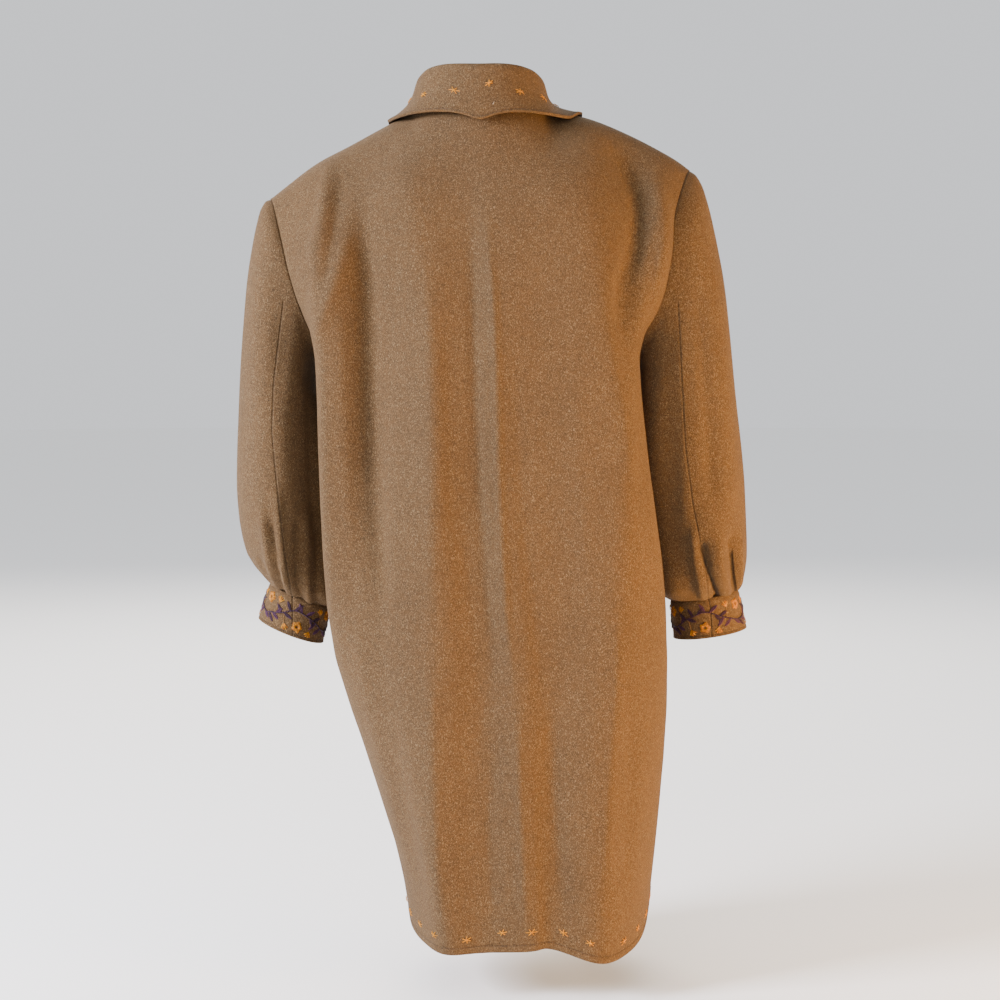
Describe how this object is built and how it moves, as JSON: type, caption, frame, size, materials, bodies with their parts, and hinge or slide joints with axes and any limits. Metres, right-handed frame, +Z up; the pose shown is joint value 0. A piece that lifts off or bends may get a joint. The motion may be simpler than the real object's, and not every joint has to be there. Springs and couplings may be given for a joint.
{
  "type": "coat",
  "caption": "Long brown felted wool coat with a turned-down collar, full sleeves gathered into embroidered cuffs, and star stitches round the hem and collar",
  "frame": {"origin": "the middle of the neck, level with the foot of the collar, where a neck or a hanger holds the coat", "axes": "+Z up the coat, the front faces -Y, and +X is the wearer's left"},
  "size_m": [0.62, 0.2819, 1.0341],
  "materials": {
    "wool": "matt felted wool, brown flecked with lighter hairs"
  },
  "bodies": {
    "root": {"back": "wool", "front_left": "wool", "front_right": "wool", "sleeve_left": "wool", "sleeve_right": "wool", "cuff_left": "wool", "cuff_right": "wool", "collar": "wool"}
  },
  "joints": []
}
